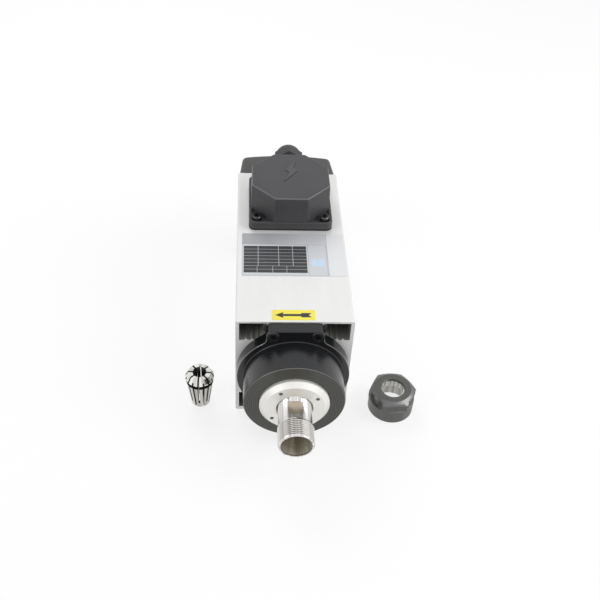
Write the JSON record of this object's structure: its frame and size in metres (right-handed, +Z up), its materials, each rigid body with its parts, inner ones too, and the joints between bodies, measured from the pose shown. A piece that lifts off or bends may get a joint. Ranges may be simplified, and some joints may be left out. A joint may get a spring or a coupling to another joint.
{
  "type": "motor spindle",
  "caption": "Air-cooled square motor spindle with an ER20 nose, a terminal box and cable gland on top, and its collet and clamping nut beside it.",
  "frame": {"origin": "middle of the body's flat underside, which stands on the floor; the spindle axis is 46 mm above it", "axes": "+Z up to the terminal box, -Y along the spindle axis towards the nose, +Y towards the fan, +X to the side where the clamping nut stands"},
  "size_m": [0.1722, 0.2769, 0.1215],
  "materials": {
    "body_aluminium": "matte clear anodised extrusion",
    "black_anodised": "black anodised aluminium, fine turned",
    "retainer_steel": "bright turned",
    "shaft_steel": "ground and turned, bright",
    "bearing_steel": "ground",
    "ball_steel": "polished",
    "spacer_steel": "ground",
    "lock_nut_steel": "blackened",
    "screw_black": "black oxide",
    "zinc_steel": "zinc plated",
    "spring_steel": "spring temper, dull",
    "lamination_steel": "stacked laminations",
    "cast_aluminium": "as cast",
    "winding_copper": "varnished copper",
    "lead_insulation": "silicone sleeve",
    "hood_plastic": "dark grey moulded",
    "cover_plastic": "dark grey moulded, fine texture",
    "fan_plastic": "black moulded",
    "gland_plastic": "black nylon",
    "block_plastic": "black thermoset",
    "gasket_rubber": "black",
    "seal_rubber": "black",
    "stud_brass": "turned",
    "plate_foil": "silver foil, satin",
    "label_yellow": "yellow printed film",
    "collet_steel": "ground and polished",
    "nut_steel": "gunmetal finish",
    "nut_ring_steel": "bright turned"
  },
  "bodies": {
    "housing": {"body_extrusion": "body_aluminium", "front_flange": "black_anodised", "flange_screws": "screw_black", "front_bearing_retainer": "retainer_steel", "outer_spacer": "spacer_steel", "stator_core": "lamination_steel", "stator_winding": "winding_copper", "rear_bearing_plate": "cast_aluminium", "rear_plate_screws": "zinc_steel", "wave_spring": "spring_steel", "fan_cover": "cover_plastic", "fan_cover_screws": "zinc_steel", "terminal_box_gasket": "gasket_rubber", "terminal_box_hood": "hood_plastic", "terminal_box_screws": "screw_black", "terminal_block": "block_plastic", "terminal_studs": "stud_brass", "earth_screw": "zinc_steel", "phase_leads": "lead_insulation", "gland_body": "gland_plastic", "gland_locknut": "gland_plastic", "gland_seal": "seal_rubber", "name_plate": "plate_foil", "rotation_label": "label_yellow", "front_bearing_outer_race": "bearing_steel", "second_bearing_outer_race": "bearing_steel", "rear_bearing_outer_race": "bearing_steel"},
    "rotor": {"shaft": "shaft_steel", "front_bearing_inner_race": "bearing_steel", "second_bearing_inner_race": "bearing_steel", "rear_bearing_inner_race": "bearing_steel", "inner_spacer": "spacer_steel", "shaft_lock_nut": "lock_nut_steel", "rotor_core": "lamination_steel", "rotor_cage": "cast_aluminium", "cooling_fan": "fan_plastic", "fan_retaining_ring": "spring_steel"},
    "front_ball_set": {"front_bearing_ball_cage": "ball_steel"},
    "second_ball_set": {"second_bearing_ball_cage": "ball_steel"},
    "rear_ball_set": {"rear_bearing_ball_cage": "ball_steel"},
    "gland_cap": {"gland_cap_nut": "gland_plastic"},
    "loose_collet": {"collet": "collet_steel"},
    "loose_nut": {"collet_nut": "nut_steel", "collet_nut_ring": "nut_ring_steel"}
  },
  "joints": [
    {"name": "rotor_spin", "type": "hinge", "parent": "housing", "child": "rotor", "pos_m": [0, 0, 0.046], "axis": [0, 1, 0], "continuous": true},
    {"name": "front_balls_orbit", "type": "hinge", "parent": "housing", "child": "front_ball_set", "pos_m": [0, -0.1097, 0.046], "axis": [0, 1, 0], "continuous": true},
    {"name": "second_balls_orbit", "type": "hinge", "parent": "housing", "child": "second_ball_set", "pos_m": [0, -0.0937, 0.046], "axis": [0, 1, 0], "continuous": true},
    {"name": "rear_balls_orbit", "type": "hinge", "parent": "housing", "child": "rear_ball_set", "pos_m": [0, 0.0849, 0.046], "axis": [0, 1, 0], "continuous": true},
    {"name": "gland_cap_turn", "type": "hinge", "parent": "housing", "child": "gland_cap", "pos_m": [0, 0.09, 0.107], "axis": [0, 1, 0], "range_deg": [0, 360]},
    {"name": "collet_lift", "type": "slide", "parent": "housing", "child": "loose_collet", "axis": [0, 0, 1], "range_m": [0, 0.15]},
    {"name": "nut_lift", "type": "slide", "parent": "housing", "child": "loose_nut", "axis": [0, 0, 1], "range_m": [0, 0.15]}
  ],
  "couplings": [
    {"joint": "front_balls_orbit", "follows": "rotor_spin", "ratio": 0.41111},
    {"joint": "second_balls_orbit", "follows": "rotor_spin", "ratio": 0.41111},
    {"joint": "rear_balls_orbit", "follows": "rotor_spin", "ratio": 0.38}
  ]
}
